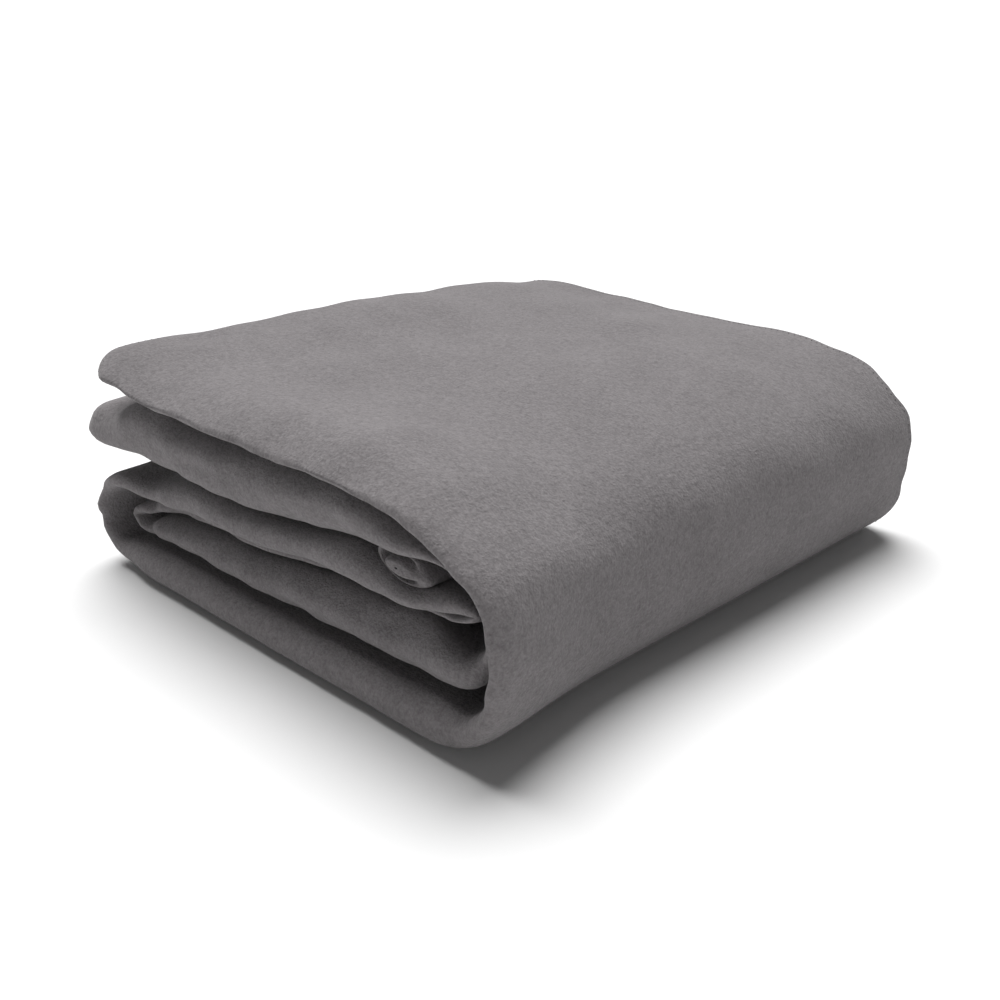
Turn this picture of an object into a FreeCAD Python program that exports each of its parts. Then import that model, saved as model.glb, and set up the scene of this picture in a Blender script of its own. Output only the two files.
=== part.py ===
import FreeCAD, Part
import os

# Folded throw blanket: one sheet of brushed fleece, 1270 mm wide and 1778 mm long.
# It is folded twice across its width into a strip of four plies, with the folded edge
# at the front and the loose long edges at the back. The strip is folded in half, and
# that double strip is folded in three, which gives six bands lying on each other.
# Units are mm. +X runs along the strip towards the closed spine, +Y to the back with
# its loose long edges, +Z up. The origin is the centre of the footprint, on the floor.

# Outside of the folded stack
STACK_LENGTH = 283.0
STACK_WIDTH = 317.5
BAND_GAP = 0.5

# Thickness of each band as it lies, from the floor up
BOTTOM_THICK = 27.0
INNER_THICK = 12.0
RETURN_THICK = 12.0
MIDDLE_THICK = 15.0
SECOND_THICK = 22.0
TOP_THICK = 13.5

# Spine, the closed folds at the +X side: a wall between a lower and an upper bend
SPINE_DEPTH = 29.0
SPINE_WALL = 13.0
SPINE_CLEARANCE = 0.5
OUTER_WALL_LOW = 29.0
OUTER_WALL_HIGH = 75.0
INNER_WALL_LOW = 45.0
INNER_WALL_HIGH = 65.0
END_FOLD_SETBACK = 10.0
INNER_SPINE_HOLLOW_DEPTH = 5.0

# Folds at the -X side, and how far each loose end stands back from the left side
LEFT_FOLD_SETBACK = 3.0
LEFT_FOLD_DEPTH = 34.0
LEFT_HOLLOW_DEPTH = 13.0
TOP_END_SETBACK = 6.0

# Clearance between pieces that move against each other as the blanket opens
MOVING_CLEARANCE = 0.3

# Hems: a folded and stitched edge on every side of the sheet
HEM_DEPTH = 4.0
HEM_THICK = 2.6
PLIES = 4
LOOSE_PLIES = 2

# Edges rounded where the cloth turns
FRONT_ROUND = 5.5
ROUND_LIMIT = 0.45
FULL_ROUND_RELIEF = 0.01

LEFT = -STACK_LENGTH / 2
RIGHT = STACK_LENGTH / 2
FRONT = -STACK_WIDTH / 2
BACK = STACK_WIDTH / 2 - HEM_DEPTH
SPINE_START = RIGHT - SPINE_DEPTH
FLAP_END = SPINE_START
LEFT_FOLD_END = LEFT + LEFT_FOLD_SETBACK + LEFT_FOLD_DEPTH
END_FOLD_START = SPINE_START - END_FOLD_SETBACK

BAND_ORDER = ("bottom", "inner", "return", "middle", "second", "top")
BAND_THICK = {
    "bottom": BOTTOM_THICK,
    "inner": INNER_THICK,
    "return": RETURN_THICK,
    "middle": MIDDLE_THICK,
    "second": SECOND_THICK,
    "top": TOP_THICK,
}


def stack_bands():
    """Lowest and highest z of each band, stacked from the floor."""
    levels = {}
    z = 0.0
    for name in BAND_ORDER:
        levels[name] = (z, z + BAND_THICK[name])
        z += BAND_THICK[name] + BAND_GAP
    return levels


BANDS = stack_bands()


def slab(x0, x1, y0, y1, z0, z1):
    """Plain block between two corners."""
    return Part.makeBox(x1 - x0, y1 - y0, z1 - z0, FreeCAD.Vector(x0, y0, z0))


def edges_along(solid, axis, keep):
    """Straight edges that run along one axis (0, 1 or 2) and pass the keep test."""
    found = []
    for edge in solid.Edges:
        if len(edge.Vertexes) != 2:
            continue
        run = edge.Vertexes[1].Point - edge.Vertexes[0].Point
        if abs(abs(run[axis]) - run.Length) < 1e-6 and keep(edge.CenterOfMass):
            found.append(edge)
    return found


def round_front(solid, radius):
    """Round the two long front edges of a block, where the plies turn."""
    edges = edges_along(solid, 0, lambda centre: abs(centre.y - FRONT) < 1e-6)
    return solid.makeFillet(radius, edges)


def panel(band, x0, x1):
    """One flat band of four plies, with its folded front edge rounded."""
    z0, z1 = BANDS[band]
    radius = min(FRONT_ROUND, ROUND_LIMIT * (z1 - z0))
    return round_front(slab(x0, x1, FRONT, BACK, z0, z1), radius)


def rounded_end(x_flat, x_round, z0, z1):
    """Block from a flat end to an end rounded over its whole depth or half its height."""
    low = min(x_flat, x_round)
    high = max(x_flat, x_round)
    block = slab(low, high, FRONT, BACK, z0, z1)
    radius = min(high - low, (z1 - z0) / 2) - FULL_ROUND_RELIEF
    edges = edges_along(block, 1, lambda centre: abs(centre.x - x_round) < 1e-6)
    return block.makeFillet(radius, edges)


def make_bottom_panel():
    return panel("bottom", LEFT_FOLD_END, SPINE_START)


def make_inner_panel():
    return panel("inner", LEFT_FOLD_END, SPINE_START)


def make_return_panel():
    return panel("return", LEFT_FOLD_END, END_FOLD_START)


def make_middle_panel():
    return panel("middle", LEFT_FOLD_END, END_FOLD_START)


def make_second_panel():
    return panel("second", LEFT + HEM_DEPTH, FLAP_END)


def make_top_panel():
    return panel("top", LEFT + TOP_END_SETBACK + HEM_DEPTH, FLAP_END)


def outer_spine():
    """Outer plies of the closed side, from the bottom band round to the top band."""
    outside = rounded_end(SPINE_START, RIGHT, 0.0, BANDS["top"][1])
    hollow_low = BANDS["bottom"][1]
    hollow_high = BANDS["top"][0]
    inside = rounded_end(SPINE_START, RIGHT - SPINE_WALL, hollow_low, hollow_high)
    return outside.cut(inside)


def inner_spine():
    """Inner plies of the closed side, from the inner band round to the second band."""
    wall = RIGHT - SPINE_WALL - SPINE_CLEARANCE
    outside = rounded_end(SPINE_START, wall, BANDS["inner"][0], BANDS["second"][1])
    hollow_end = SPINE_START + INNER_SPINE_HOLLOW_DEPTH
    hollow_low = BANDS["inner"][1]
    hollow_high = BANDS["second"][0]
    inside = rounded_end(SPINE_START, hollow_end, hollow_low, hollow_high)
    return outside.cut(inside)


def between(solid, z0, z1):
    """The part of a solid between two heights."""
    return solid.common(slab(SPINE_START, RIGHT, FRONT, BACK, z0, z1))


def make_outer_spine_wall():
    return between(outer_spine(), OUTER_WALL_LOW, OUTER_WALL_HIGH)


def make_outer_lower_bend():
    return between(outer_spine(), 0.0, OUTER_WALL_LOW - MOVING_CLEARANCE)


def make_outer_upper_bend():
    return between(outer_spine(), OUTER_WALL_HIGH + MOVING_CLEARANCE, BANDS["top"][1])


def make_inner_spine_wall():
    return between(inner_spine(), INNER_WALL_LOW, INNER_WALL_HIGH)


def make_inner_lower_bend():
    return between(inner_spine(), BANDS["inner"][0], INNER_WALL_LOW - MOVING_CLEARANCE)


def make_inner_upper_bend():
    return between(inner_spine(), INNER_WALL_HIGH + MOVING_CLEARANCE, BANDS["second"][1])


def make_hidden_end_fold():
    """Middle of the strip, turned back on itself between the inner and second bands."""
    z0 = BANDS["return"][0]
    z1 = BANDS["middle"][1]
    return rounded_end(END_FOLD_START, END_FOLD_START + (z1 - z0) / 2, z0, z1)


def make_outer_left_fold():
    """Outer plies of the left side, from the bottom band round to the middle band."""
    outside = rounded_end(LEFT_FOLD_END, LEFT + LEFT_FOLD_SETBACK, 0.0, BANDS["middle"][1])
    hollow_low = BANDS["bottom"][1]
    hollow_high = BANDS["middle"][0]
    hollow_end = LEFT_FOLD_END - LEFT_HOLLOW_DEPTH
    inside = rounded_end(LEFT_FOLD_END, hollow_end, hollow_low, hollow_high)
    return outside.cut(inside)


def make_inner_left_fold():
    """Inner plies of the left side, from the inner band round to the return band."""
    z0 = BANDS["inner"][0]
    z1 = BANDS["return"][1]
    return rounded_end(LEFT_FOLD_END, LEFT_FOLD_END - (z1 - z0) / 2, z0, z1)


def end_hem(band, x0):
    """Hem of one short edge of the sheet: one stitched strip for each ply of the band."""
    z0, z1 = BANDS[band]
    pitch = (z1 - z0) / PLIES
    strips = []
    for ply in range(PLIES):
        low = z0 + pitch * (ply + 0.5) - HEM_THICK / 2
        strips.append(slab(x0, x0 + HEM_DEPTH, FRONT + HEM_DEPTH, BACK, low, low + HEM_THICK))
    return Part.makeCompound(strips)


def back_hem(band, x0, x1, loose_side):
    """Hems of the two loose long edges of the sheet, on the outer plies of one band."""
    z0, z1 = BANDS[band]
    pitch = (z1 - z0) / PLIES
    strips = []
    for ply in range(LOOSE_PLIES):
        middle = z1 - pitch * (ply + 0.5) if loose_side > 0 else z0 + pitch * (ply + 0.5)
        low = middle - HEM_THICK / 2
        strips.append(slab(x0, x1, BACK, BACK + HEM_DEPTH, low, low + HEM_THICK))
    return strips


def make_top_end_hem():
    return end_hem("top", LEFT + TOP_END_SETBACK)


def make_second_end_hem():
    return end_hem("second", LEFT)


def make_lower_back_hems():
    """Long-edge hems along the four bands that stay on the floor."""
    strips = back_hem("bottom", LEFT_FOLD_END, SPINE_START, -1)
    strips += back_hem("inner", LEFT_FOLD_END, SPINE_START, 1)
    strips += back_hem("return", LEFT_FOLD_END, END_FOLD_START, -1)
    strips += back_hem("middle", LEFT_FOLD_END, END_FOLD_START, 1)
    return Part.makeCompound(strips)


def make_upper_back_hems():
    """Long-edge hems along the two bands that open."""
    strips = back_hem("second", LEFT + HEM_DEPTH, FLAP_END, -1)
    strips += back_hem("top", LEFT + TOP_END_SETBACK + HEM_DEPTH, FLAP_END, 1)
    return Part.makeCompound(strips)


def make_spine_back_hems():
    """Long-edge hems up the wall of the spine."""
    pitch = SPINE_WALL / PLIES
    strips = []
    for ply in range(LOOSE_PLIES):
        x0 = RIGHT - pitch * (ply + 0.5) - HEM_THICK / 2
        low = OUTER_WALL_LOW
        strips.append(slab(x0, x0 + HEM_THICK, BACK, BACK + HEM_DEPTH, low, OUTER_WALL_HIGH))
    return Part.makeCompound(strips)


NODES = {
    "bottom_panel": make_bottom_panel,
    "inner_panel": make_inner_panel,
    "return_panel": make_return_panel,
    "middle_panel": make_middle_panel,
    "second_panel": make_second_panel,
    "top_panel": make_top_panel,
    "outer_spine_wall": make_outer_spine_wall,
    "outer_lower_bend": make_outer_lower_bend,
    "outer_upper_bend": make_outer_upper_bend,
    "inner_spine_wall": make_inner_spine_wall,
    "inner_lower_bend": make_inner_lower_bend,
    "inner_upper_bend": make_inner_upper_bend,
    "hidden_end_fold": make_hidden_end_fold,
    "outer_left_fold": make_outer_left_fold,
    "inner_left_fold": make_inner_left_fold,
    "top_end_hem": make_top_end_hem,
    "second_end_hem": make_second_end_hem,
    "lower_back_hems": make_lower_back_hems,
    "upper_back_hems": make_upper_back_hems,
    "spine_back_hems": make_spine_back_hems,
}

os.makedirs("parts", exist_ok=True)
for node, make in NODES.items():
    shape = make()
    shape.exportStep("parts/" + node + ".step")
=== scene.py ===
import bpy
import numpy as np
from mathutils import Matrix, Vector


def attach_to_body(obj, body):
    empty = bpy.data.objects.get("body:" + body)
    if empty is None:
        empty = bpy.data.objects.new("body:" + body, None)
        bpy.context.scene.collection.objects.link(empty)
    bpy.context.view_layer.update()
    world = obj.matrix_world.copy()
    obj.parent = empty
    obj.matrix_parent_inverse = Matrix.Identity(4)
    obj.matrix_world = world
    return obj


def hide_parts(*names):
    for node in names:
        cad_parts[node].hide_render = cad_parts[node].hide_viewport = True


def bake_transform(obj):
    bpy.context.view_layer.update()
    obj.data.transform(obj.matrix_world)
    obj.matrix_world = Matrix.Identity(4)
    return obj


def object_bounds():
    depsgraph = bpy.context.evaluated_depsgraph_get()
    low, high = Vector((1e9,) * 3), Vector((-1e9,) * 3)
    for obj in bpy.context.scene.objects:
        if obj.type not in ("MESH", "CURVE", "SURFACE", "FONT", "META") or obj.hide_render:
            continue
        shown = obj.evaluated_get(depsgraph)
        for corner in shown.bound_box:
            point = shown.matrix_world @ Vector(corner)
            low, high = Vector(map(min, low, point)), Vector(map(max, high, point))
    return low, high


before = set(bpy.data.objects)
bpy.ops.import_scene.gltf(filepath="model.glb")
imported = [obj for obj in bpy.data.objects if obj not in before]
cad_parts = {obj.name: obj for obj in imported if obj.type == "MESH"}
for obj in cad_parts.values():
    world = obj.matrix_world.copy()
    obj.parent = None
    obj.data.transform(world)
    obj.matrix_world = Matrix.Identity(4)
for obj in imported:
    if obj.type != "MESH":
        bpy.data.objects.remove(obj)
CAD_LOW, CAD_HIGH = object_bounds()

# The cloth is worked out in mm: x from the stack's left side, y from its front edge, z from the
# floor. to_frame() moves it into the CAD frame. The sheet is folded across its width into a strip
# of four plies. The strip's path starts at the top panel's loose end, goes round the outer spine,
# the bottom panel, the left side and the middle panel, turns back inside the stack, and ends at
# the second panel's loose end.
MM = 0.001
STACK_WIDTH = (CAD_HIGH.y - CAD_LOW.y) / MM

# Heights of the panels' faces at these places along x, at the front edge and deep in the stack
STATIONS = (44, 80, 130, 170, 205, 236)
FRONT_LEVELS = {
    "floor": (0, 0, 0, 0, 0, 0),
    "bottom": (18, 18, 17.5, 18.5, 20, 20.5),
    "inner": (31.5, 37, 38.5, 44.5, 46, 48.5),
    "return": (41, 43.5, 44.5, 50.4, 51.8, 53.5),
    "middle": (51.5, 60.6, 61, 65.4, 69.8, 64),
    "second_low": (60.5, 61.3, 61.6, 66.2, 70.8, 72.8),
    "second": (92.5, 90, 89.5, 91.8, 94.5, 87),
    "top_low": (97.5, 93.5, 92, 94.7, 98, 87.5),
    "top": (106, 108, 110, 111, 111, 104),
}
DEEP_LEVELS = {
    "floor": (0, 0, 0, 0, 0, 0),
    "bottom": (20, 20, 19.5, 19.5, 19.5, 19),
    "inner": (33, 36, 36, 36, 36, 35),
    "return": (46, 51, 51.5, 51.5, 51.5, 50),
    "middle": (60, 67, 68, 68, 68, 66),
    "second_low": (66, 68, 69, 69, 69, 68),
    "second": (86, 86, 86, 85.5, 83.5, 79.5),
    "top_low": (86.5, 86.5, 86.5, 86, 84, 80),
    "top": (106, 105, 104, 102.5, 99.5, 93),
}

# Folds of the strip: x, z, thickness of the four plies
FRONT_FOLDS = {
    "top_end": ((8, 99.5, 6), (13, 100, 9.5), (26, 101, 11.5)),
    "outer_spine": ((252, 90, 10.5), (266.5, 83.5, 10), (279, 74, 9.5), (285, 58.5, 9), (286.5, 45, 9.5),
                    (282.5, 29, 11), (272, 16.5, 15), (256, 11.5, 22)),
    "outer_left": ((30, 9.2, 16.5), (14, 10.3, 11.5), (3.4, 21.5, 9.5), (5, 36, 9.5), (17.5, 45.6, 9.5)),
    "end_fold": ((252, 61, 10), (264, 63, 8), (272, 63.5, 5), (266, 59.6, 3)),
    "inner_left": ((28, 31, 7), (18.5, 26.3, 7.5), (28, 21.5, 6.5)),
    "inner_spine": ((254, 35.5, 21), (268, 38, 15), (277, 50, 6.5), (276.5, 64, 4), (267, 73, 4),
                    (254, 77.5, 4.5)),
    "second_end": ((24, 70.5, 22.5), (2, 68, 20), (-5.5, 66.8, 12)),
}
DEEP_FOLDS = {
    "top_end": ((6, 96.5, 9), (11, 97, 14), (24, 97, 17)),
    "outer_spine": ((249, 82.6, 12), (261.5, 75, 12), (270, 64.5, 12), (272.5, 49, 12), (271, 33.5, 13),
                    (265.5, 19.5, 16), (256, 11, 19), (245, 9.5, 19)),
    "outer_left": ((30, 10.2, 17), (17, 14, 14), (8.5, 25, 14), (9.5, 39, 14), (22, 49.5, 14)),
    "end_fold": ((240, 58, 14), (245.5, 54, 12), (245.5, 47, 12), (240, 42.6, 14)),
    "inner_left": ((32, 39, 12), (25, 32.8, 12), (32, 26.6, 12)),
    "inner_spine": ((246, 28.5, 13), (255, 34, 10), (259.5, 44, 9), (259.5, 56, 9), (255, 66, 10),
                    (247, 73, 12)),
    "second_end": ((22, 76, 18), (6, 76, 16), (0, 76, 11)),
}

# Each stretch's front fold: how far it stands back, and how deep its curve runs on the strip's
# outer side (the side with the loose long edges) and on its other side
FRONT_EDGE = {
    "top_end": (0.5, 14, 9),
    "top": (0.5, 17, 15),
    "outer_spine": (0.5, 12, 8),
    "bottom": (1.0, 8, 10),
    "outer_left": (2.5, 9, 8),
    "middle": (5.0, 8, 9),
    "end_fold": (6.5, 7, 7),
    "return": (16.0, 6, 6),
    "inner_left": (12.5, 7, 7),
    "inner": (10.0, 9, 9),
    "inner_spine": (7.0, 7, 7),
    "second": (3.5, 9, 20),
    "second_end": (3.5, 10, 13),
}

# The strip's plies, the cloth's thickness, and the most that a ply fills of its own quarter of the
# strip's thickness
PLIES = 4
CLOTH_THICK = 3.0
PLY_FILL = 0.88

# How deep the two inner plies' front fold lies: a share of the strip's thickness, up to a limit
INNER_FOLD_SHARE = 0.8
INNER_FOLD_LIMIT = 8.0

# How much thinner the strip is at its front edge, which opens slots between the panels, and the
# thickness from which it loses that much
FRONT_GAP = 2.6
FRONT_GAP_FULL = 16.0

# The front profile turns into the deep one over this depth
MIX_DEPTH = 95.0

# Rounded corners at the strip's two ends: the radius, how far along the strip they reach, the back
# corners' share of the radius, the second end's share of it, and the share where a curve stops
END_ROUND = 22.0
END_ROUND_REACH = 46.0
BACK_ROUND_SHARE = 0.25
SECOND_END_SHARE = 0.55
ROUND_LIMIT = 0.999

# The strip's back: how far in its outer loose edge and its back fold lie, and the fold's depth
LOOSE_EDGE_INSET = 3.5
BACK_FOLD_INSET = 2.0
BACK_FOLD_DEPTH = 2.0

# The outer plies lie at the strip's two faces, and the inner ones this share of the way out to them
INNER_PLY = 1 / 3

# Spacing of the points: the longest step along the strip, depths behind a front fold, then counts
# of even steps to the back on its upper ply, its lower ply and the hidden plies, and round folds
STATION_STEP = 3.2
FRONT_DEPTHS = (0, 1.5, 3.5, 6, 9, 13, 18)
FINE_START, FINE_COUNT = 23, 74
COARSE_START, COARSE_COUNT = 26, 26
HIDDEN_COUNT = 22
TURN_COUNT = 15
SMALL_TURN_COUNT = 7

# Settling grows with height, as a share of this height and up to a limit. Its sideways waves reach
# their full size at the foot's share.
FULL_HEIGHT = 104.0
HEIGHT_LIMIT = 1.2
FOOT_SHARE = 0.25

# Humps and dents of the stack: height, then centre and reach as (x, y)
CORNER_HUMP = (8.4, (-4, 22), (42, 44))
LEFT_HUMP = (5.6, (5, 138), (70, 88))
LEFT_DENT = (-1.4, (26, 55), (7, 16))

# The corner hump grows over these heights, as (start, length)
CORNER_HUMP_HEIGHTS = (40, 55)

# The top panel's front lip droops: by how much at the left and how much more to the right, where
# along x and z as (start, length), and how far back it reaches
LIP_DROOP, LIP_EXTRA_DROOP = 5, 4.5
LIP_ALONG_X = (0, 110)
LIP_HEIGHTS = (92, 18)
LIP_REACH = 31

# The back left sags in two steps: depth, then (start, length) along y, and along -x
BACK_SAGS = ((3.2, (245, 70), (240, 60)), (3.2, (235, 85), (215, 60)))

# Soft waves along z, x and y: height, wavelengths along x, y and z, and seed. Each is a sum of
# random waves, whose rates are spread between two shares of the given ones.
RISE_WAVES = ((0.55, (95, 110, 400), 3), (0.4, (38, 46, 300), 4))
OUT_WAVES = ((0.8, (60, 80, 30), 5),)
FRONT_WAVES = ((0.9, (55, 90, 16), 6), (0.5, (19, 60, 12), 7))
WAVES_IN_SUM = 9
WAVE_SPREAD = (0.6, 1.4)

# The crumpled inner fold at the front left: its waves along y, and centre and reach as (x, z)
CRUMPLE_WAVES = ((2.6, (15, 60, 9), 8),)
CRUMPLE_CENTRE, CRUMPLE_REACH = (27, 31), (20, 8)

# The pinched fold on the middle panel: a flat roll that thins towards the back, with a groove round
# part of its rounded front end. The groove's place and width are shares of the roll's radius.
PINCH_CENTRE = (230.5, 5.0, 69.2)
PINCH_HALF_WIDTH = 15.5
PINCH_HALF_HEIGHT = 6.0
PINCH_TILT_DEGREES = -11.0
PINCH_NOSE = 5.0
PINCH_LENGTH = 85.0
PINCH_TAPER = 0.94
PINCH_GROOVE_DEPTH = 16.0
PINCH_GROOVE_AT, PINCH_GROOVE_WIDTH = 0.66, 0.13
PINCH_OPEN_ANGLE = 190.0
PINCH_RINGS, PINCH_STEPS, PINCH_AROUND = 22, 30, 48

# The thread whipped round the sheet's edges, which stands off the cloth by a share of its radius
STITCH_PITCH = 3.6
STITCH_DEPTH = 3.0
STITCH_POINTS = 4
THREAD_RADIUS = 0.3
THREAD_STANDOFF = 0.3
THREAD_SIDES = 5

# The smallest lengths that the script divides by
SMALLEST_SPAN = 1e-6
SMALLEST_VECTOR = 1e-9

# Path names in order, with the level names under and over each flat panel, and its direction
PATH = (
    ("top_end", None),
    ("top", ("top_low", "top", 1)),
    ("outer_spine", None),
    ("bottom", ("floor", "bottom", -1)),
    ("outer_left", None),
    ("middle", ("return", "middle", 1)),
    ("end_fold", None),
    ("return", ("inner", "return", -1)),
    ("inner_left", None),
    ("inner", ("bottom", "inner", 1)),
    ("inner_spine", None),
    ("second", ("second_low", "second", -1)),
    ("second_end", None),
)


# Working out the cloth's shape
def smooth_step(t):
    """0 below 0, 1 above 1, and smooth in between."""
    t = np.clip(t, 0.0, 1.0)
    return t * t * (3 - 2 * t)


def step_over(value, span):
    """A smooth step over a (start, length) span."""
    start, length = span
    return smooth_step((value - start) / length)


def control_points(levels, folds):
    """The strip's centre line and thickness along its path, with the recess of its front edge."""
    points = []
    names = []
    for name, panel in PATH:
        if panel is None:
            found = list(folds[name])
        else:
            low, high, direction = panel
            found = [(x, (a + b) / 2, b - a) for x, a, b in zip(STATIONS, levels[low], levels[high])]
            found = found[::direction]
        points += [(x, z, thick, *FRONT_EDGE[name]) for x, z, thick in found]
        names += [name] * len(found)
    return np.array(points, float), names


def spline(points, counts):
    """Catmull-Rom curve through the points, with a given number of steps in each span."""
    ends = np.vstack([2 * points[0] - points[1], points, 2 * points[-1] - points[-2]])
    rows = []
    for i, count in enumerate(counts):
        p0, p1, p2, p3 = ends[i:i + 4]
        a, b, c = [max(np.linalg.norm(span[:2]), SMALLEST_SPAN) ** 0.5
                   for span in (p1 - p0, p2 - p1, p3 - p2)]
        m1 = (p2 - p1) + b * ((p1 - p0) / a - (p2 - p0) / (a + b))
        m2 = (p2 - p1) + b * ((p3 - p2) / c - (p3 - p1) / (b + c))
        t = (np.arange(count) / count)[:, None]
        rows.append((2 * t**3 - 3 * t**2 + 1) * p1 + (t**3 - 2 * t**2 + t) * m1
                    + (3 * t**2 - 2 * t**3) * p2 + (t**3 - t**2) * m2)
    rows.append(points[-1][None, :])
    return np.vstack(rows)


def span_counts(front, deep):
    """Steps in each span, from its longer length in the two profiles."""
    lengths = np.maximum(np.linalg.norm(np.diff(front[:, :2], axis=0), axis=1),
                         np.linalg.norm(np.diff(deep[:, :2], axis=0), axis=1))
    return np.maximum(2, np.ceil(lengths / STATION_STEP).astype(int))


def strip_sides(curve):
    """Unit normal of the centre line, on the side of the loose long edges."""
    along = np.gradient(curve[:, :2], axis=0)
    along /= np.linalg.norm(along, axis=1)[:, None]
    return np.stack([-along[:, 1], along[:, 0]], axis=1)


def across_points():
    """The strip's cross-section, from one loose long edge to the other, as rows of three.

    A flat row has the share of the way to the back, and the ply's level from -1 to 1. A front row
    has the level that its fold reaches and the angle round it. A back row has only the angle.
    """
    near = np.array(FRONT_DEPTHS) / STACK_WIDTH
    fine = np.append(near, np.linspace(FINE_START / STACK_WIDTH, 1, FINE_COUNT))
    coarse = np.append(near[::2], np.linspace(COARSE_START / STACK_WIDTH, 1, COARSE_COUNT))
    hidden = np.linspace(0, 1, HIDDEN_COUNT)
    turn = np.linspace(0, 1, TURN_COUNT)[1:-1]
    small_turn = np.linspace(0, 1, SMALL_TURN_COUNT)[1:-1]
    rows = [("flat", t, 1.0) for t in fine[::-1]]
    rows += [("front", 1.0, np.pi * (0.5 - s)) for s in turn]
    rows += [("flat", t, -1.0) for t in coarse]
    rows += [("back", 0.0, np.pi * s) for s in small_turn]
    rows += [("flat", t, -INNER_PLY) for t in hidden[::-1]]
    rows += [("front", INNER_PLY, np.pi * (s - 0.5)) for s in small_turn]
    rows += [("flat", t, INNER_PLY) for t in hidden]
    return rows


def ripples(points, wavelengths, seed):
    """Smooth random wave field of about unit height, one value for each point."""
    rng = np.random.default_rng(seed)
    total = np.zeros(points.shape[:-1])
    for _ in range(WAVES_IN_SUM):
        direction = rng.normal(size=3)
        direction /= np.linalg.norm(direction)
        rate = 2 * np.pi * rng.uniform(*WAVE_SPREAD) * direction / np.array(wavelengths, float)
        total += np.sin(points @ rate + rng.uniform(0, 2 * np.pi))
    return total / WAVES_IN_SUM**0.5


def wave_sum(points, waves):
    """Adds up ripples given as (height, wavelengths, seed)."""
    return sum(height * ripples(points, wavelengths, seed) for height, wavelengths, seed in waves)


def bump_at(first, second, centre, reach):
    """A smooth hump of height 1 at a place on a plane."""
    return np.exp(-((first - centre[0]) / reach[0]) ** 2 - ((second - centre[1]) / reach[1]) ** 2)


def settled_rise(points):
    """How far each point moves up where settling is at its full size."""
    x, y, z = points[..., 0], points[..., 1], points[..., 2]
    corner, left, dent = [height * bump_at(x, y, centre, reach)
                          for height, centre, reach in (CORNER_HUMP, LEFT_HUMP, LEFT_DENT)]
    droop = LIP_DROOP + LIP_EXTRA_DROOP * step_over(x, LIP_ALONG_X)
    lip = droop * np.clip(1 - y / LIP_REACH, 0, 1) ** 2 * step_over(z, LIP_HEIGHTS)
    sag = sum(depth * step_over(y, along_y) * smooth_step((x_end - x) / x_length)
              for depth, along_y, (x_end, x_length) in BACK_SAGS)
    humps = corner * step_over(z, CORNER_HUMP_HEIGHTS) + left + dent
    return humps - lip + wave_sum(points, RISE_WAVES) - sag


def settle(points):
    """Bends the ideal stack into a real one, the more the higher it is: humps, sags and waves."""
    x, y, z = points[..., 0], points[..., 1], points[..., 2]
    high = np.clip(z / FULL_HEIGHT, 0, HEIGHT_LIMIT)
    side = smooth_step(high / FOOT_SHARE)
    rise = settled_rise(points)
    out = wave_sum(points, OUT_WAVES)
    front = wave_sum(points, FRONT_WAVES)
    front += wave_sum(points, CRUMPLE_WAVES) * bump_at(x, z, CRUMPLE_CENTRE, CRUMPLE_REACH)
    return np.stack([x + out * side, y + front * side, z + high * rise], axis=-1)


def corner_shift(distance, radius):
    """How far a rounded corner stands back at a distance from the side it turns into."""
    inside = np.clip(radius - distance, 0, radius * ROUND_LIMIT)
    return radius - np.sqrt(radius**2 - inside**2)


def end_shift(y, radius):
    """How far the strip's end stands back at its two rounded corners."""
    return corner_shift(y, radius) + corner_shift(STACK_WIDTH - y, radius * BACK_ROUND_SHARE)


def ply_levels(kind, share, value):
    """Where each point of the cross-section lies between the strip's two sides, from -1 to 1."""
    level = np.where(kind == "flat", value, 0.0)
    level = np.where(kind == "front", share * np.sin(value), level)
    middle = -(1 + INNER_PLY) / 2
    return np.where(kind == "back", middle - (1 - INNER_PLY) / 2 * np.cos(value), level)


def ply_depths(front, kind, share, value, level):
    """The y of each point: flat plies run from the front fold's curve to the back."""
    recess, upper_depth, lower_depth = front[:, 3:4], front[:, 4:5], front[:, 5:6]
    depth = np.where(value > 0, upper_depth, lower_depth)
    inner_depth = np.minimum(INNER_FOLD_SHARE * front[:, 2:3], INNER_FOLD_LIMIT)
    is_flat = kind == "flat"
    is_inner = np.abs(np.where(is_flat, value, share)) < 0.5
    start = recess + np.where(is_inner, inner_depth, depth)
    curve = np.where(is_inner, inner_depth * INNER_PLY, depth)
    loose = np.where(level > 0.5, LOOSE_EDGE_INSET, 0.0)
    inset = np.where(is_flat & (level < 0), BACK_FOLD_INSET + BACK_FOLD_DEPTH, loose)
    flat = start + (STACK_WIDTH - inset - start) * share
    back = STACK_WIDTH - BACK_FOLD_INSET - BACK_FOLD_DEPTH + BACK_FOLD_DEPTH * np.sin(value)
    return np.where(is_flat, flat, np.where(kind == "front", start - curve * np.cos(value), back))


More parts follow.
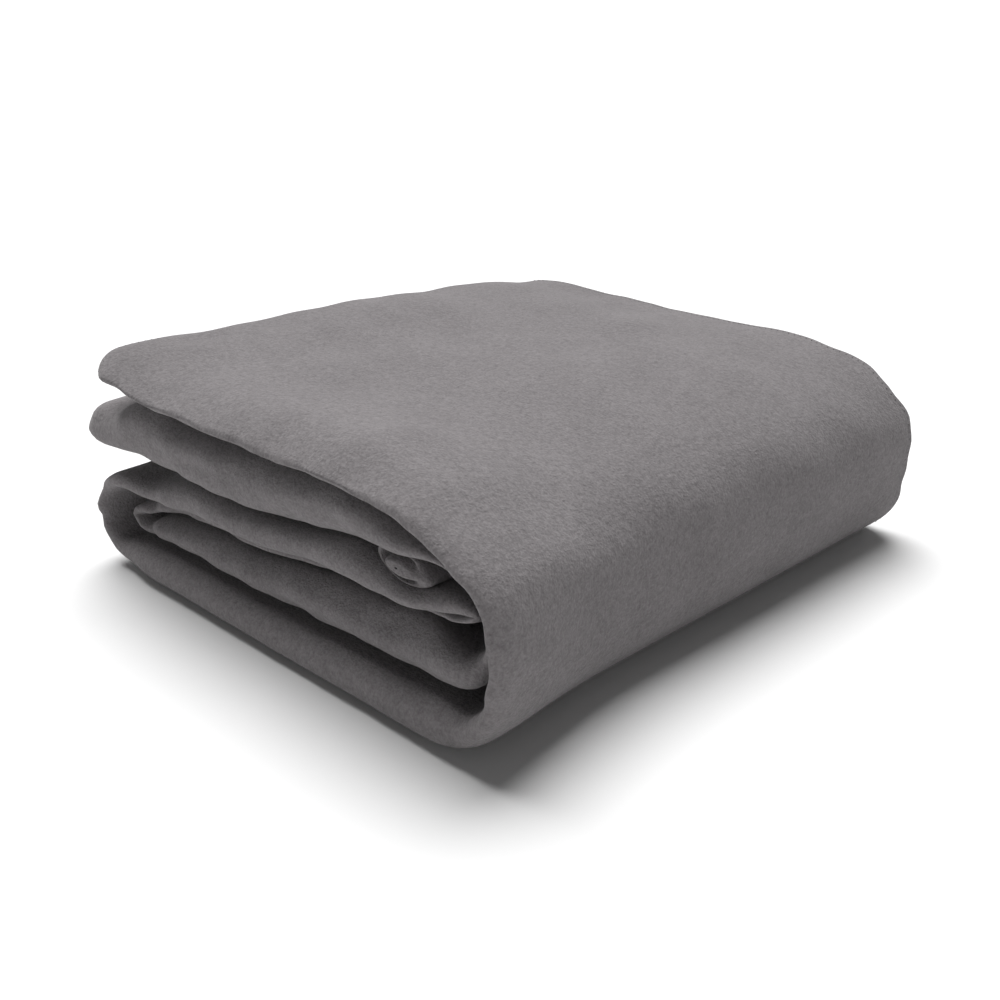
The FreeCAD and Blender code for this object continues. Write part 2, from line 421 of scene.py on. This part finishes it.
def sheet_surface(front, deep):
    """The middle surface of the cloth, its thickness, and the length along the strip."""
    rows = across_points()
    kind, share, value = [np.array(column) for column in zip(*rows)]
    level = ply_levels(kind, share, value)
    y = ply_depths(front, kind, share, value, level)

    mix = smooth_step(y / MIX_DEPTH)[..., None]
    front_across = (strip_sides(front) * front[:, 2:3])[:, None, :]
    deep_across = (strip_sides(deep) * deep[:, 2:3])[:, None, :]
    centre = front[:, None, :2] * (1 - mix) + deep[:, None, :2] * mix
    across = front_across * (1 - mix) + deep_across * mix
    strip_thick = np.linalg.norm(across, axis=-1)
    thick = np.minimum(CLOTH_THICK, PLY_FILL * strip_thick / PLIES)
    offset = 0.5 * level * (1 - thick / strip_thick)
    xz = centre + across * offset[..., None]

    steps = np.linalg.norm(np.diff(deep[:, :2], axis=0), axis=1)
    length = np.insert(np.cumsum(steps), 0, 0.0)
    at_start = np.clip(1 - length / END_ROUND_REACH, 0, 1)[:, None] ** 2
    at_end = np.clip(1 - (length[-1] - length) / END_ROUND_REACH, 0, 1)[:, None] ** 2
    x = xz[..., 0] + end_shift(y, END_ROUND) * at_start
    x += end_shift(y, END_ROUND * SECOND_END_SHARE) * at_end
    return settle(np.stack([x, y, xz[..., 1]], axis=-1)), thick, length


def unit_rows(vectors):
    """The same vectors with length 1."""
    return vectors / np.maximum(np.linalg.norm(vectors, axis=-1), SMALLEST_VECTOR)[..., None]


def grid_normals(surface):
    """Unit normal at each point of a grid of points."""
    return unit_rows(np.cross(np.gradient(surface, axis=0), np.gradient(surface, axis=1)))


class Cloth:
    """The folded sheet as two skins of points, cut into pieces on demand."""

    def __init__(self):
        front, self.names = control_points(FRONT_LEVELS, FRONT_FOLDS)
        deep, _ = control_points(DEEP_LEVELS, DEEP_FOLDS)
        front[:, 2] -= FRONT_GAP * smooth_step(front[:, 2] / FRONT_GAP_FULL)
        self.counts = span_counts(front, deep)
        self.middle, thick, self.length = sheet_surface(
            spline(front, self.counts), spline(deep, self.counts))
        half = grid_normals(self.middle) * thick[..., None] / 2
        self.upper = self.middle + half
        self.lower = self.middle - half
        for skin in (self.upper, self.lower):
            skin[..., 2] = np.maximum(skin[..., 2], 0.0)
        self.upper_normal = grid_normals(self.upper)
        self.lower_normal = -grid_normals(self.lower)
        self.last_station = len(self.middle) - 1

    def station(self, name, number):
        """Index of the nth control point of a stretch of the path."""
        control = self.names.index(name) + number
        return int(self.counts[:control].sum())


cloth = Cloth()


# Making meshes
def to_frame(points):
    """Stack mm to the CAD frame's metres."""
    return points * MM + np.array(CAD_LOW)


def quads(grid):
    """Faces between the points of an index grid."""
    return np.stack([grid[:-1, :-1], grid[1:, :-1], grid[1:, 1:], grid[:-1, 1:]], axis=-1).reshape(-1, 4)


def link_object(name, data):
    """A new object in the scene."""
    made = bpy.data.objects.new(name, data)
    bpy.context.scene.collection.objects.link(made)
    return made


class MeshParts:
    """Grids of points and the faces between them, gathered into one object."""

    def __init__(self):
        self.points = []
        self.normals = []
        self.faces = []
        self.count = 0

    def add(self, points, normals=None):
        """Adds points in stack mm, and returns their indices in the same shape."""
        index = self.count + np.arange(points[..., 0].size).reshape(points.shape[:-1])
        self.points.append(points.reshape(-1, 3))
        if normals is not None:
            self.normals.append(normals.reshape(-1, 3))
        self.count += index.size
        return index

    def build(self, name):
        """The smooth-shaded object, with its points' own normals if they were given."""
        mesh = bpy.data.meshes.new(name)
        mesh.from_pydata(to_frame(np.vstack(self.points)).tolist(), [], self.faces)
        mesh.polygons.foreach_set("use_smooth", np.ones(len(mesh.polygons), bool))
        if self.normals:
            mesh.normals_split_custom_set_from_vertices(np.vstack(self.normals).tolist())
        return link_object(name, mesh)


def add_edge(parts, rows, cols, inner_rows, inner_cols):
    """A rounded line along an open edge: the middle surface pushed out by half its thickness."""
    outward = unit_rows(cloth.middle[rows, cols] - cloth.middle[inner_rows, inner_cols])
    gap = np.linalg.norm(cloth.upper[rows, cols] - cloth.lower[rows, cols], axis=-1)[..., None]
    return parts.add(cloth.middle[rows, cols] + outward * gap * 0.5, outward)


def sheet_piece(name, stretch):
    """One closed mesh of the sheet for a stretch (first station, last station) of the strip."""
    first, last = stretch
    parts = MeshParts()
    rows = slice(first, last + 1)
    upper = parts.add(cloth.upper[rows], cloth.upper_normal[rows])
    lower = parts.add(cloth.lower[rows], cloth.lower_normal[rows])
    parts.faces += quads(upper).tolist()
    parts.faces += quads(lower)[:, ::-1].tolist()
    side_edges = {}
    for col, inner_col, inward in ((0, 1, 1), (-1, -2, -1)):
        edge = add_edge(parts, rows, col, rows, inner_col)
        band = np.stack([upper[:, col], edge, lower[:, col]], axis=1)
        parts.faces += quads(band)[:, ::-inward].tolist()
        side_edges[col] = edge
    for row, station, inward in ((0, first, 1), (-1, last, -1)):
        band = [lower[row], upper[row]]
        if station in (0, cloth.last_station):
            every = slice(None)
            band.insert(1, add_edge(parts, station, every, station + inward, every))
        parts.faces += quads(np.stack(band, axis=1))[:, ::-inward].tolist()
        for col, sideways in ((0, 1), (-1, -1)):
            corner = [int(line[col]) for line in band] + [int(side_edges[col][row])]
            parts.faces.append(corner[::-inward * sideways])
    return parts.build(name)


def resample(rows, distance, pitch):
    """Rows of values at even steps of the distance along them."""
    at = np.arange(pitch, distance[-1] - pitch, pitch)
    return np.stack([np.interp(at, distance, column) for column in rows.T], axis=1)


def stitch_path(middle, inner, half):
    """Path of a thread that whips round an edge: over the top face, the edge and the lower face."""
    distance = np.insert(np.cumsum(np.linalg.norm(np.diff(middle, axis=0), axis=1)), 0, 0.0)
    rows = resample(np.hstack([middle, inner, half[:, None]]), distance, STITCH_PITCH / STITCH_POINTS)
    edge, half = rows[:, :3], rows[:, 6:7]
    inward = unit_rows(rows[:, 3:6] - edge)
    up = unit_rows(np.cross(np.gradient(edge, axis=0), inward))
    phase = np.arange(len(edge)) % STITCH_POINTS
    level = np.array((1.0, 0.0, -1.0, 0.0))[phase][:, None]
    depth = np.where(phase % 2 == 0, STITCH_DEPTH, -half[:, 0])[:, None]
    path = edge + inward * depth + up * level * (half + THREAD_RADIUS * THREAD_STANDOFF)
    path[:, 2] = np.maximum(path[:, 2], THREAD_RADIUS)
    return path


def stitch_paths(stretch):
    """Thread paths round the sheet's real edges, within a stretch of the strip."""
    first, last = stretch
    half = np.linalg.norm(cloth.upper - cloth.lower, axis=-1) / 2
    rows = slice(first, last + 1)
    paths = [stitch_path(cloth.middle[rows, col], cloth.middle[rows, inner], half[rows, col])
             for col, inner in ((0, 1), (-1, -2))]
    for station, inner in ((0, 1), (cloth.last_station, cloth.last_station - 1)):
        if first <= station <= last:
            paths.append(stitch_path(cloth.middle[station], cloth.middle[inner], half[station]))
    return paths


def thread_piece(name, paths):
    """One mesh of closed-end tubes along some paths of points."""
    parts = MeshParts()
    angles = 2 * np.pi * np.arange(THREAD_SIDES) / THREAD_SIDES
    for path in paths:
        along = unit_rows(np.gradient(path, axis=0))
        least = np.eye(3)[np.argmin(np.abs(along).sum(axis=0))]
        first = unit_rows(np.cross(along, least))
        second = np.cross(along, first)
        ring = (first[:, None, :] * np.cos(angles)[None, :, None]
                + second[:, None, :] * np.sin(angles)[None, :, None])
        grid = parts.add(path[:, None, :] + THREAD_RADIUS * ring)
        parts.faces += quads(np.hstack([grid, grid[:, :1]]))[:, ::-1].tolist()
        parts.faces += [grid[0, ::-1].tolist(), grid[-1].tolist()]
    return parts.build(name)


def pinched_fold_rows():
    """Rings of the pinched fold as (across, up, depth): its front end, then its tapering length."""
    angles = 2 * np.pi * np.arange(PINCH_AROUND) / PINCH_AROUND
    across, up = np.cos(angles), np.sin(angles)
    open_side = 0.5 + 0.5 * np.cos(angles - np.radians(PINCH_OPEN_ANGLE))
    rows = []
    for share in np.arange(1, PINCH_RINGS + 1) / PINCH_RINGS:
        away = (share - PINCH_GROOVE_AT) / PINCH_GROOVE_WIDTH
        groove = PINCH_GROOVE_DEPTH * open_side * np.exp(-(away ** 2))
        depth = PINCH_NOSE * (1 - np.sqrt(max(1 - share**2, 0))) + groove
        rows.append(np.stack([share * across, share * up, depth], axis=1))
    for share in np.arange(1, PINCH_STEPS + 1) / PINCH_STEPS:
        slim = 1 - smooth_step(share) * PINCH_TAPER
        depth = PINCH_NOSE + (PINCH_LENGTH - PINCH_NOSE) * share
        rows.append(np.stack([across, up * slim - (1 - slim), np.full(PINCH_AROUND, depth)], axis=1))
    return np.stack(rows)


def pinched_fold_piece():
    """The small pinched fold on the middle panel."""
    rows = pinched_fold_rows()
    tilt = np.radians(PINCH_TILT_DEGREES)
    across = rows[..., 0] * PINCH_HALF_WIDTH
    up = rows[..., 1] * PINCH_HALF_HEIGHT
    x, y, z = PINCH_CENTRE
    points = np.stack([x + across * np.cos(tilt) - up * np.sin(tilt),
                       y + rows[..., 2],
                       z + across * np.sin(tilt) + up * np.cos(tilt)], axis=-1)
    parts = MeshParts()
    grid = parts.add(settle(points))
    parts.faces += quads(np.hstack([grid, grid[:, :1]])).tolist()
    parts.faces += [grid[0, ::-1].tolist(), grid[-1].tolist()]
    return parts.build("pinched_fold")


# Materials
SPECK_SIZE_M = 0.0011
TUFT_SIZE_M = 0.0028
PATCH_SIZE_M = 0.034
THREAD_TWIST_M = 0.0007


def weighted_sum(tree, sources):
    """Adds up noise outputs, each times its weight."""
    total = None
    for output, weight in sources:
        step = tree.nodes.new("ShaderNodeMath")
        step.operation = "MULTIPLY_ADD"
        step.inputs[1].default_value = weight
        step.inputs[2].default_value = 0.0
        tree.links.new(output, step.inputs[0])
        if total is not None:
            tree.links.new(total, step.inputs[2])
        total = step.outputs[0]
    return total


def noise_of_size(tree, size_m, detail, roughness=0.55):
    """Noise in the piece's own space, with features about size_m across."""
    coords = tree.nodes.new("ShaderNodeTexCoord")
    node = tree.nodes.new("ShaderNodeTexNoise")
    node.inputs["Scale"].default_value = 1 / size_m
    node.inputs["Detail"].default_value = detail
    node.inputs["Roughness"].default_value = roughness
    tree.links.new(coords.outputs["Object"], node.inputs["Vector"])
    return node.outputs["Fac"]


def colour_between(tree, value, dark, light, span=(0, 1)):
    """Colours the shader from dark to light as the value crosses the span."""
    ramp = tree.nodes.new("ShaderNodeValToRGB")
    for element, position, colour in zip(ramp.color_ramp.elements, span, (dark, light)):
        element.position = position
        element.color = (*colour, 1)
    tree.links.new(value, ramp.inputs["Fac"])
    tree.links.new(ramp.outputs["Color"], tree.nodes["Principled BSDF"].inputs["Base Color"])


def fleece_material():
    """Brushed fleece: mottled grey, a short matt nap with darker specks, and soft sheen."""
    mat = bpy.data.materials.new("fleece")
    mat.use_nodes = True
    tree = mat.node_tree
    shader = tree.nodes["Principled BSDF"]
    shader.inputs["Roughness"].default_value = 0.95
    shader.inputs["Specular IOR Level"].default_value = 0.15
    shader.inputs["Sheen Weight"].default_value = 0.12
    shader.inputs["Sheen Roughness"].default_value = 0.5

    speck = noise_of_size(tree, SPECK_SIZE_M, 2, 0.6)
    tuft = noise_of_size(tree, TUFT_SIZE_M, 2, 0.6)
    patch = noise_of_size(tree, PATCH_SIZE_M, 3)
    tone = weighted_sum(tree, [(speck, 0.5), (tuft, 0.32), (patch, 0.18)])
    colour_between(tree, tone, (0.125, 0.116, 0.119), (0.21, 0.197, 0.201), (0.34, 0.62))

    bump = tree.nodes.new("ShaderNodeBump")
    bump.inputs["Strength"].default_value = 0.55
    bump.inputs["Distance"].default_value = 0.001
    tree.links.new(weighted_sum(tree, [(speck, 0.8), (tuft, 1.0)]), bump.inputs["Height"])
    tree.links.new(bump.outputs["Normal"], shader.inputs["Normal"])
    return mat


def thread_material():
    """Matt sewing thread in the fleece's grey, with a fine twist."""
    mat = bpy.data.materials.new("hem_thread")
    mat.use_nodes = True
    tree = mat.node_tree
    shader = tree.nodes["Principled BSDF"]
    shader.inputs["Roughness"].default_value = 0.7
    shader.inputs["Sheen Weight"].default_value = 0.2
    twist = noise_of_size(tree, THREAD_TWIST_M, 1)
    colour_between(tree, twist, (0.13, 0.121, 0.124), (0.23, 0.217, 0.221))
    return mat


# Pieces of the sheet: the stations they run between, the bodies for them to follow, an x span in metres
# from the stack's left side for a turn from the first body to the second, which the script doesn't apply
# (a piece with one only has its transform baked), and the CAD nodes that the cloth and its edge thread
# stand for
SPINE_CUT = cloth.station("outer_spine", 4)
BOTTOM_CUT = cloth.station("bottom", 1)
INNER_CUT = cloth.station("inner", 4)
INNER_SPINE_CUT = cloth.station("inner_spine", 2)
OUTER_BEND = (0.250, 0.265)
INNER_BEND = (0.243, 0.255)
PIECES = (
    ("lower_part", (BOTTOM_CUT, INNER_CUT), ("root",), None,
     ("bottom_panel", "inner_panel", "return_panel", "middle_panel", "hidden_end_fold",
      "outer_left_fold", "inner_left_fold"), "lower_back_hems"),
    ("outer_bend", (SPINE_CUT, BOTTOM_CUT), ("root", "spine"), OUTER_BEND,
     ("outer_lower_bend", "outer_spine_wall"), "spine_back_hems"),
    ("inner_bend", (INNER_CUT, INNER_SPINE_CUT), ("root", "spine"), INNER_BEND,
     ("inner_lower_bend", "inner_spine_wall"), "spine_back_hems"),
    ("top_part", (0, SPINE_CUT), ("flap", "spine"), OUTER_BEND,
     ("top_panel", "outer_upper_bend", "top_end_hem"), "upper_back_hems"),
    ("second_part", (INNER_SPINE_CUT, cloth.last_station), ("flap", "spine"), INNER_BEND,
     ("second_panel", "inner_upper_bend", "second_end_hem"), "upper_back_hems"),
)


def attach(piece, bodies, bend):
    """Makes a piece follow the first body when it has no bend; a piece with a bend only has its
    transform baked into its points.
    """
    if bend is None:
        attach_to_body(piece, bodies[0])
    else:
        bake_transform(piece)


fleece = fleece_material()
thread = thread_material()

pinched_fold = pinched_fold_piece()
pinched_fold.data.materials.append(fleece)
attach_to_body(pinched_fold, "root")

for part_name, stretch, bodies, bend, cloth_nodes, hem_node in PIECES:
    sheet = sheet_piece("blanket_" + part_name, stretch)
    sheet.data.materials.append(fleece)
    attach(sheet, bodies, bend)
    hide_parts(*cloth_nodes)
    stitches = thread_piece("stitching_" + part_name, stitch_paths(stretch))
    stitches.data.materials.append(thread)
    attach(stitches, bodies, bend)
    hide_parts(hem_node)


# Floor, light and camera
FLOOR_HALF_SIZE_M = 60.0
SUN_ENERGY, SUN_ANGLE, SUN_TOWARD = 4.85, 0.9, (0.38, -0.24, -1)
HORIZON_STRENGTH, OVERHEAD_STRENGTH = 0.86, 0.05
FADE_START, FADE_END = 0.16, 0.4
CAMERA_SENSOR_MM, CAMERA_LENS_MM = 36.0, 44.65
CAMERA_AZIMUTH, CAMERA_ELEVATION = 44.96, 22.28
CAMERA_OFFSET_X, CAMERA_OFFSET_Y, CAMERA_HEIGHT = 0.5561, -0.2658, 0.2702


def add_floor():
    """Plain pale floor that runs past the horizon."""
    mesh = bpy.data.meshes.new("floor")
    corners = [(x * FLOOR_HALF_SIZE_M, y * FLOOR_HALF_SIZE_M, 0)
               for x, y in ((-1, -1), (1, -1), (1, 1), (-1, 1))]
    mesh.from_pydata(corners, [], [(0, 1, 2, 3)])
    floor = link_object("floor", mesh)
    mat = bpy.data.materials.new("pale_floor")
    mat.use_nodes = True
    shader = mat.node_tree.nodes["Principled BSDF"]
    shader.inputs["Base Color"].default_value = (0.8, 0.8, 0.8, 1)
    shader.inputs["Roughness"].default_value = 0.9
    shader.inputs["Specular IOR Level"].default_value = 0.1
    mesh.materials.append(mat)


def add_sun():
    """A soft far light from overhead, a little to the stack's back left."""
    light = bpy.data.lights.new("overhead", "SUN")
    light.energy = SUN_ENERGY
    light.angle = SUN_ANGLE
    lamp = link_object("overhead", light)
    lamp.rotation_euler = Vector(SUN_TOWARD).to_track_quat("-Z", "Y").to_euler()


def add_world():
    """Studio surroundings: bright near the horizon and below it, dim overhead."""
    world = bpy.data.worlds.new("studio")
    world.use_nodes = True
    tree = world.node_tree
    coords = tree.nodes.new("ShaderNodeTexCoord")
    parts = tree.nodes.new("ShaderNodeSeparateXYZ")
    fade = tree.nodes.new("ShaderNodeMapRange")
    fade.inputs["From Min"].default_value = FADE_START
    fade.inputs["From Max"].default_value = FADE_END
    fade.inputs["To Min"].default_value = HORIZON_STRENGTH
    fade.inputs["To Max"].default_value = OVERHEAD_STRENGTH
    background = tree.nodes["Background"]
    background.inputs["Color"].default_value = (1, 1, 1, 1)
    tree.links.new(coords.outputs["Generated"], parts.inputs["Vector"])
    tree.links.new(parts.outputs["Z"], fade.inputs["Value"])
    tree.links.new(fade.outputs["Result"], background.inputs["Strength"])
    bpy.context.scene.world = world


def add_camera():
    """Camera at the photograph's viewing angle."""
    data = bpy.data.cameras.new("camera")
    data.sensor_width = CAMERA_SENSOR_MM
    data.lens = CAMERA_LENS_MM
    camera = link_object("camera", data)
    azimuth, elevation = np.radians(CAMERA_AZIMUTH), np.radians(CAMERA_ELEVATION)
    toward = Vector((-np.sin(azimuth) * np.cos(elevation), np.cos(azimuth) * np.cos(elevation),
                     -np.sin(elevation)))
    camera.rotation_euler = toward.to_track_quat("-Z", "Y").to_euler()
    camera.location = (CAD_LOW.x + CAMERA_OFFSET_X, CAD_LOW.y + CAMERA_OFFSET_Y, CAMERA_HEIGHT)
    bpy.context.scene.camera = camera


add_floor()
add_sun()
add_world()
add_camera()

bpy.context.scene.view_settings.view_transform = "Standard"
bpy.context.view_layer.update()
